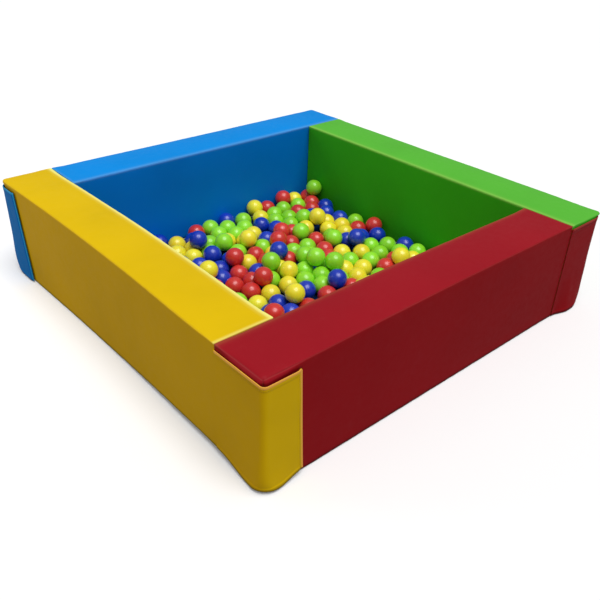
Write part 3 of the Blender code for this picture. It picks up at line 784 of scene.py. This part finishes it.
def sheet_faces(columns, rows):
    """Faces of a closed sheet from two grids of points, the outer one first."""
    count, faces = columns * rows, []
    for row in range(rows - 1):
        for column in range(columns - 1):
            a = row * columns + column
            quad = (a, a + 1, a + columns + 1, a + columns)
            faces.append(quad)
            faces.append(tuple(count + corner for corner in quad[::-1]))
    grid = np.arange(count).reshape(rows, columns)
    rim = np.concatenate((grid[0], grid[1:, -1], grid[-1, -2::-1], grid[-2:0:-1, 0])).tolist()
    for a, b in zip(rim, rim[1:] + rim[:1]):
        faces.append((b, a, count + a, count + b))
    return faces


def hem_share(shares, heights):
    """1 on the flap's folded hem, which runs along its free edges: the end, the top and the bottom."""
    from_end = (1 - shares)[None, :] * FLAP_LENGTH
    from_top = np.minimum(heights, 1 - heights)[:, None] * FLAP_HEIGHT
    border = np.minimum(from_end, from_top)
    fold = 1 - smooth_step(border, HEM_WIDTH - HEM_STEP, HEM_WIDTH + HEM_STEP)
    return fold * smooth_step(border, *HEM_EDGE_FADE)


def flap_waves(shares, heights, colour):
    """How far the flap stands off the wall over its grid, in gentle waves, with ripples toward its foot."""
    grid = np.array([(share * FLAP_LENGTH, up * FLAP_HEIGHT, 0) for up in heights for share in shares])
    size = (len(heights), len(shares))
    wave = noise_at(grid, FLAP_WAVES, "flap", colour).reshape(size)
    ripple = noise_at(grid * RIPPLE_STRETCH, FLAP_RIPPLES, "ripple", colour).reshape(size)
    lower = (1 - heights[:, None]) ** RIPPLE_POWER
    off = np.clip(wave * FLAP_WAVE_DEPTH + ripple * FLAP_RIPPLE_DEPTH * lower, *OFF_WALL)
    return off * smooth_step(shares, 0, WAVES_START)


def make_flap(colour):
    """The wrapped flap: one sheet of vinyl with a folded and stitched hem round three sides."""
    shares = spaced(0, FLAP_LENGTH, FLAP_STEP, HINGE_OFFSETS, HEM_OFFSETS) / FLAP_LENGTH
    heights = spaced(0, FLAP_HEIGHT, FLAP_STEP, HEM_OFFSETS, HEM_OFFSETS) / FLAP_HEIGHT
    waves = flap_waves(shares, heights, colour)
    outer = waves + FLAP_THICKNESS / 2 + HEM_RISE * hem_share(shares, heights)
    inner = waves - FLAP_THICKNESS / 2
    flap = wrapped_sheet(colour + "_flap_sheet", shares, heights, outer, inner, colour, vinyl[colour])
    # Painted light on the return leg, and painted shade on the rest of the flap, as on the side panels
    paler = RETURN_PAINTED_LIGHT * smooth_step(shares, BEND_SHARE - PALE_GAP, BEND_SHARE + PALE_GAP)
    # Painted shadow at the flap's foot
    foot = np.repeat(1 - smooth_step(heights * FLAP_HEIGHT, *FLAP_BASE_FADE), len(shares))
    set_attribute(flap, "side", np.tile(1 - paler, 2 * len(heights)))
    # Painted shadow at the flap's foot, and painted shade over the whole blue flap
    set_attribute(flap, "shade", np.tile(np.maximum(foot * BASE_SHADE, FLAP_PAINTED_SHADES[colour]), 2))
    to_wall(flap, colour)
    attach(flap, colour + "_flap")
    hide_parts(colour + "_corner_flap")
    pieces = [make_binding(colour), make_flap_stitches(colour)]


def flap_border(inset, step, off, colour, bottom):
    """Places along the flap's top, free edge and perhaps bottom, with the ways ahead, outward and aside."""
    end, low, high = 1 - inset / FLAP_LENGTH, inset / FLAP_HEIGHT, 1 - inset / FLAP_HEIGHT
    along = np.arange(BORDER_START / FLAP_LENGTH, end, step / FLAP_LENGTH)
    up = np.arange(low if bottom else BINDING_FOOT / FLAP_HEIGHT, high, step / FLAP_HEIGHT)
    path = [(share, high) for share in along] + [(end, value) for value in up[::-1]]
    if bottom:
        path += [(share, low) for share in along[::-1]]
    outs = (off, off + 1 * MM)
    places, further = (np.array([flap_place(*shares, out, colour) for shares in path]) for out in outs)
    out = (further - places) / (1 * MM)
    ahead = np.gradient(places, axis=0)
    ahead /= np.linalg.norm(ahead, axis=1, keepdims=True)
    return list(zip(places, ahead, out, np.cross(ahead, out)))


def make_binding(colour):
    """The narrow bound edge that runs along the flap's top and free edge, a little paler than the vinyl."""
    inset, off = BINDING_WIDTH / 2 - BINDING_OVERHANG, FLAP_THICKNESS / 2 + HEM_RISE
    border = flap_border(inset, FLAP_STEP, off, colour, bottom=False)
    points = []
    for place, _, out, side in border:
        points += [place + side * x * BINDING_WIDTH + out * z * BINDING_HEIGHT for x, z in BINDING_PROFILE]
    faces = tube_faces(len(border), len(BINDING_PROFILE))
    binding = make_object(colour + "_flap_binding", points, faces, hem_vinyl[colour])
    to_wall(binding, colour)
    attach(binding, colour + "_flap")
    return binding


def make_flap_stitches(colour):
    """The row of short raised stitches that holds the flap's hem."""
    off = FLAP_THICKNESS / 2 + HEM_RISE + STITCH_RISE
    border = flap_border(HEM_WIDTH - STITCH_INSET, STITCH_STEP, off, colour, bottom=True)
    points, faces = [], []
    for place, ahead, out, side in border:
        faces += tube_faces(len(STITCH_RINGS), STITCH_SIDES, len(points))
        for along, size in STITCH_RINGS:
            for x, y in circle(STITCH_SIDES):
                off = (side * x + out * y) * size * STITCH_RADIUS
                points.append(place + ahead * along * STITCH_LENGTH + off)
    stitches = make_object(colour + "_flap_stitches", points, faces, thread[colour])
    to_wall(stitches, colour)
    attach(stitches, colour + "_flap")
    return stitches


def make_welt(colour):
    """The rolled seam that joins the wall's cover and its flap, along the flap's hinge line."""
    points, (middle_x, middle_y) = [], WELT_PLACE
    for height in np.linspace(FLAP_LOW[2] + CORNER_LOOKS[colour].start_rise, FLAP_TOPS[colour], WELT_RINGS):
        bump = noise.noise(Vector((WALLS.index(colour), 0, height * WELT_WAVES)))
        radius = WELT_RADIUS + WELT_BUMPS * bump
        points += [(middle_x + radius * x, middle_y + radius * y, height) for x, y in circle(WELT_SIDES)]
    welt = make_object(colour + "_flap_welt", points, tube_faces(WELT_RINGS, WELT_SIDES), vinyl[colour])
    # Painted shade: the upright welt takes the side panels' deeper colour
    set_attribute(welt, "side", np.ones(len(points)))
    to_wall(welt, colour)
    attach(welt, PIT)


# Hook and loop strips


def make_strip(colour, kind):
    """The hook tape inside a flap's return leg, or the loop tape on the wall that it closes on."""
    hook = kind == "hook"
    owner = colour if hook else NEXT_WALL[colour]
    start = 1 - (FLAP_AXIS[1] + FLAP_RETURN - STRIP_LOW.y) / FLAP_LENGTH
    end = 1 - (FLAP_AXIS[1] + FLAP_RETURN - STRIP_HIGH.y) / FLAP_LENGTH
    low, high = ((corner.z - FLAP_LOW[2]) / FLAP_HEIGHT for corner in (STRIP_LOW, STRIP_HIGH))
    shares, heights = np.linspace(start, end, STRIP_COLUMNS), np.linspace(low, high, STRIP_ROWS)
    grid = np.array([(share, up, 0) for up in heights for share in shares])
    fuzz = noise_at(grid, PILE_WAVES, kind, colour).reshape(STRIP_ROWS, STRIP_COLUMNS)
    pile = np.full(fuzz.shape, PILE_EDGE)
    pile[1:-1, 1:-1] = (fuzz * PILE_DEPTH - PILE_DEPTH)[1:-1, 1:-1]
    outer = STRIP_OFFS[kind] + STRIP_THICKNESS / 2 + (0 if hook else 1) * pile
    inner = STRIP_OFFS[kind] - STRIP_THICKNESS / 2 - (1 if hook else 0) * pile
    strip = wrapped_sheet(f"{owner}_{kind}_tape", shares, heights, outer, inner, colour, strips[kind])
    to_wall(strip, colour)
    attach(strip, colour + "_flap" if hook else PIT)
    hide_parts(f"{owner}_{kind}_strip")


# Zips


def tooth_boxes(low, high, top):
    """The (low, high) corners of the coil's teeth along the zip's box, which end just below the tape."""
    boxes = []
    for index in range(int((high[0] - low[0] - 2 * TEETH_INSET) / TOOTH_PITCH)):
        x = low[0] + TEETH_INSET + index * TOOTH_PITCH
        middle = np.array([x, WALL_MIDDLE + TOOTH_SHIFT * (1 if index % 2 else -1)])
        bottom = low[2] + TOOTH_GAPS[0]
        boxes.append(((*(middle - TOOTH_HALF), bottom), (*(middle + TOOTH_HALF), top - TOOTH_GAPS[1])))
    return boxes


def make_zip(colour):
    """The zip's woven tape, ridged along both sides, with its coil teeth."""
    low, high = (np.array(corner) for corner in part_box("red_zip"))
    tape_bottom = high[2] - TAPE_THICKNESS
    along, across = np.linspace(low[0], high[0], TAPE_COLUMNS), np.linspace(low[1], high[1], TAPE_ROWS)
    points, faces = box_shell([along, across, (0, 1)])
    ridged = np.abs(np.sin(points[:, 0] * RIDGE_WAVES)) > RIDGE_LEVEL
    ridge = RIDGE_HEIGHT * ridged * (np.abs(points[:, 1] - WALL_MIDDLE) > RIDGE_SIDE)
    points[:, 2] = np.where(points[:, 2] > 0, high[2], tape_bottom + ridge)
    tape = make_object(colour + "_zip_tape", points, faces, tape_cloth)
    teeth = boxes_mesh(tooth_boxes(low, high, tape_bottom))
    chain = make_object(colour + "_zip_teeth", *teeth, teeth_plastic)
    modify(chain, "BEVEL", width=TOOTH_BEVEL, segments=1)
    for piece in (tape, chain):
        to_wall(piece, colour)
        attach(piece, PIT)
        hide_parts(colour + "_zip")


def make_slider(colour):
    """The CAD slider in metal, and the flat pull that lies along the recess below it."""
    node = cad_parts[colour + "_zip_slider"]
    node.data.materials.clear()
    node.data.materials.append(metal)
    low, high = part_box("red_zip_slider")
    start, middle, top = low.x + PULL_START, (low.y + high.y) / 2, low.z - PULL_GAP
    near, far = start + PULL_RADIUS, start + PULL_LENGTH - PULL_RADIUS
    ring = circle(PULL_SIDES)
    outline = [((far if x > 0 else near) + PULL_RADIUS * x, middle + PULL_RADIUS * y) for x, y in ring]
    hole = [(far + PULL_HOLE * x, middle + PULL_HOLE * y) for x, y in ring]
    points = [(x, y, z) for z in (top, top - PULL_THICKNESS) for row in (outline, hole) for x, y in row]
    faces = []
    for a in range(PULL_SIDES):
        b = (a + 1) % PULL_SIDES
        for first, second in ((0, 1), (3, 2), (2, 0), (1, 3)):  # outline and hole above, and the same below
            p, q = first * PULL_SIDES, second * PULL_SIDES
            faces.append((a + p, b + p, b + q, a + q))
    pull = make_object(colour + "_zip_pull", points, faces, metal)
    to_wall(pull, colour)
    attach(pull, colour + "_slider")


# Floor mat


def make_mat():
    """The thin sheet of felt-backed vinyl under the balls, lying a little uneven on the ground."""
    low, high = (np.array(corner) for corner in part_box("floor_mat"))
    rows = [spaced(low[axis], high[axis], MAT_STEP) for axis in range(2)]
    points, faces = box_shell([*rows, np.linspace(low[2], high[2], MAT_LAYERS)])
    placed, _ = rounded(points, low, high, MAT_EDGE_RADIUS)
    up = (points[:, 2] - low[2]) / (high[2] - low[2])
    waves = 0.5 + 0.5 * noise_at(points * np.array([1, 1, 0]), MAT_WAVES, "mat")
    placed[:, 2] -= MAT_WAVE_DEPTH * up * waves
    mat = make_object("floor_mat_sheet", placed, faces, mat_vinyl)
    set_attribute(mat, "seam", np.exp(-((seam_distance(points, low, high) / MAT_WORN_WIDTH) ** 2)))
    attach(mat, PIT)
    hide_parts("floor_mat")


# Balls


def ball_centres(node):
    """Centres of the balls in a CAD node: the places midway between several pairs of opposite vertices."""
    points = np.unique(np.round([vert.co[:] for vert in node.data.vertices], 6), axis=0)
    apart = np.linalg.norm(points[:, None] - points[None], axis=2)
    first, second = np.where(np.triu(np.abs(apart - BALL_DIAMETER) < PAIR_TOLERANCE))
    middles = (points[first] + points[second]) / 2
    centres = []
    for middle in middles:
        near = np.linalg.norm(middles - middle, axis=1) < GROUP_TOLERANCE
        known = any(np.linalg.norm(middle - centre) < BALL_RADIUS / 2 for centre in centres)
        if near.sum() >= LEAST_PAIRS and not known:
            centres.append(middles[near].mean(axis=0))
    return centres


def ball_shape():
    """One ball: a sphere with a fine moulding seam round its middle and a closed filling hole at one pole."""
    points, faces = [(0, 0, BALL_RADIUS - FILLING_HOLE_DEPTH)], []
    for angle in BALL_ANGLES:
        radius = BALL_RADIUS + (MOULDING_SEAM if angle == 90 else 0)
        radius -= FILLING_HOLE_DEPTH if angle < FILLING_HOLE_ANGLE else 0
        wide, high = radius * math.sin(math.radians(angle)), radius * math.cos(math.radians(angle))
        points += [(wide * x, wide * y, high) for x, y in circle(BALL_SEGMENTS)]
    points.append((0, 0, -BALL_RADIUS))
    last = len(points) - 1
    for step in range(BALL_SEGMENTS):
        after = (step + 1) % BALL_SEGMENTS
        faces.append((0, 1 + step, 1 + after))
        for a in range(1, last - BALL_SEGMENTS, BALL_SEGMENTS):
            faces.append((a + step, a + BALL_SEGMENTS + step, a + BALL_SEGMENTS + after, a + after))
        a = last - BALL_SEGMENTS
        faces.append((a + step, last, a + after))
    return np.array(points), faces


def ball_colour(centre, chance, half_pit):
    """A colour for a ball by its place: mostly its clump's, and otherwise by lot."""
    draw, other = chance.random(), chance.choice(OTHER_COLOURS)
    for colour, x, y, reach in CLUMP_SHARES:
        if math.hypot(centre[0] / half_pit - x, centre[1] / half_pit - y) < reach and draw < CLUMP_CHANCE:
            return colour
    return other


def any_turn(chance):
    """A random rotation as a 3 by 3 array."""
    axis = Vector([chance.gauss(0, 1) for _ in range(3)]).normalized()
    return np.array(Matrix.Rotation(chance.uniform(0, 2 * math.pi), 3, axis))


def make_ball_shells(name, centres, colour, node, body, chance):
    """The fine balls of one colour that stand for a CAD node, or for part of it."""
    points, faces, tints = [], [], []
    for centre in centres:
        base = len(points) * len(ball_points)
        points.append(ball_points @ any_turn(chance).T + centre)
        faces += [tuple(base + corner for corner in face) for face in ball_faces]
        tints += [chance.random()] * len(ball_points)
    shells = make_object(name, np.concatenate(points), faces, ball_plastic[colour])
    set_attribute(shells, "tint", tints)
    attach(shells, body)
    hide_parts(node)


def make_balls():
    """The clusters' balls in mixed colours, and then the loose balls in their own."""
    chance = random.Random(FILL_SEED)
    half_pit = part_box("floor_mat")[1].x - BALL_RADIUS
    centres = {node: ball_centres(obj) for node, obj in sorted(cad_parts.items()) if "ball_" in node}
    for node in [node for node in centres if node.startswith("ball_cluster")]:
        groups = {}
        for centre in centres[node]:
            groups.setdefault(ball_colour(centre, chance, half_pit), []).append(centre)
        for colour, group in sorted(groups.items()):
            make_ball_shells(node + "_" + colour, group, colour, node, PIT, chance)
    for node in [node for node in centres if "loose_ball" in node]:
        make_ball_shells(node + "_shell", centres[node], node.split("_")[0], node, node, chance)


# Stage


def show_or_light(tree, shown, lighting, output):
    """Show one shader to the camera, and light everything else by another."""
    path = tree.nodes.new("ShaderNodeLightPath")
    mix = tree.nodes.new("ShaderNodeMixShader")
    tree.links.new(path.outputs["Is Camera Ray"], mix.inputs[0])
    tree.links.new(lighting.outputs[0], mix.inputs[1])
    tree.links.new(shown.outputs[0], mix.inputs[2])
    tree.links.new(mix.outputs[0], tree.nodes[output].inputs["Surface"])


def floor_material():
    """White to the camera but for the shadows on it, and a middle grey to the light it gives back."""
    nodes = Nodes("pale_floor")
    seen = nodes.add("BsdfDiffuse", {"Color": (*FLOOR_COLOUR, 1)})
    lit = nodes.add("BsdfDiffuse", {"Color": (*FLOOR_BOUNCE_COLOUR, 1)})
    glow = nodes.add("Emission", {"Color": (1, 1, 1, 1), "Strength": FLOOR_GLOW})
    white = nodes.add("AddShader")
    nodes.link(seen.outputs[0], white.inputs[0])
    nodes.link(glow.outputs[0], white.inputs[1])
    show_or_light(nodes.tree, white, lit, "Material Output")
    return nodes.material


def make_floor():
    """A pale floor that looks nearly white, and gives back less light than it shows."""
    corners = [(x * FLOOR_SIZE, y * FLOOR_SIZE, 0) for x, y in ((-1, -1), (1, -1), (1, 1), (-1, 1))]
    floor = make_object("floor", corners, [(0, 1, 2, 3)], floor_material())


def make_world():
    """White to the camera, and a dim even light to the rest."""
    world = bpy.data.worlds.new("studio")
    world.use_nodes = True
    bpy.context.scene.world = world
    nodes = world.node_tree.nodes
    dim, white = nodes["Background"], nodes.new("ShaderNodeBackground")
    for background, strength in ((dim, ROOM_STRENGTH), (white, 1)):
        background.inputs["Color"].default_value = (1, 1, 1, 1)
        background.inputs["Strength"].default_value = strength
    show_or_light(world.node_tree, white, dim, "World Output")


def add_light(name, kind, place, **settings):
    """A light that shines from its place toward the pit."""
    data = bpy.data.lights.new(name, kind)
    set_all(data, settings)
    light = add_object(name, data)
    light.location = place
    light.rotation_euler = Vector(place).to_track_quat("Z", "Y").to_euler()


def make_lights():
    """One wide, soft light from high up, a little to the front and left, and a faint one at the left."""
    add_light("soft_sky", "SUN", SKY_SIDE, energy=SKY_ENERGY, angle=SKY_ANGLE)
    add_light("side_fill", "AREA", FILL_PLACE, energy=FILL_ENERGY, shape="DISK", size=FILL_SIZE)


def make_camera():
    """The photograph's camera, as solved from the walls' corners in it."""
    data = bpy.data.cameras.new("camera")
    set_all(data, {"lens": CAMERA_LENS, "sensor_width": CAMERA_SENSOR})
    camera = add_object("camera", data)
    camera.location = CAMERA_PLACE
    camera.rotation_euler = [math.radians(turn) for turn in CAMERA_DEGREES]
    bpy.context.scene.camera = camera


vinyl = {colour: vinyl_material(colour + "_vinyl", VINYL[colour], SHADED_SIDE_VINYL[colour]) for colour in WALLS}
hem_vinyl = {colour: vinyl_material(colour + "_binding_vinyl", HEM[colour]) for colour in WALLS}
thread = {colour: thread_material(colour + "_thread", scaled(SHADED_SIDE_VINYL[colour], 0.8)) for colour in WALLS}
ball_plastic = {colour: ball_material(colour + "_ball_plastic", BALL[colour]) for colour in WALLS}
mat_vinyl = vinyl_material("mat_blue_vinyl", MAT_COLOUR)
strips = {
    "hook": woven_material("hook_tape", STRIP_COLOUR, 480, 0.7),
    "loop": woven_material("loop_tape", STRIP_COLOUR, 300, 0.95),
}
tape_cloth = woven_material("zip_tape_cloth", TAPE_COLOUR, 420, 0.8)
teeth_plastic = metal_material("zip_teeth")
metal = metal_material("slider_metal")
ball_points, ball_faces = ball_shape()

for colour in WALLS:
    make_cover(colour)
for colour in WALLS:
    make_flap(colour)
    make_welt(colour)
    make_strip(colour, "hook")
    make_strip(colour, "loop")
    make_zip(colour)
    make_slider(colour)
make_mat()
make_balls()
make_floor()
make_world()
make_lights()
make_camera()
bpy.context.scene.view_settings.view_transform = "Standard"
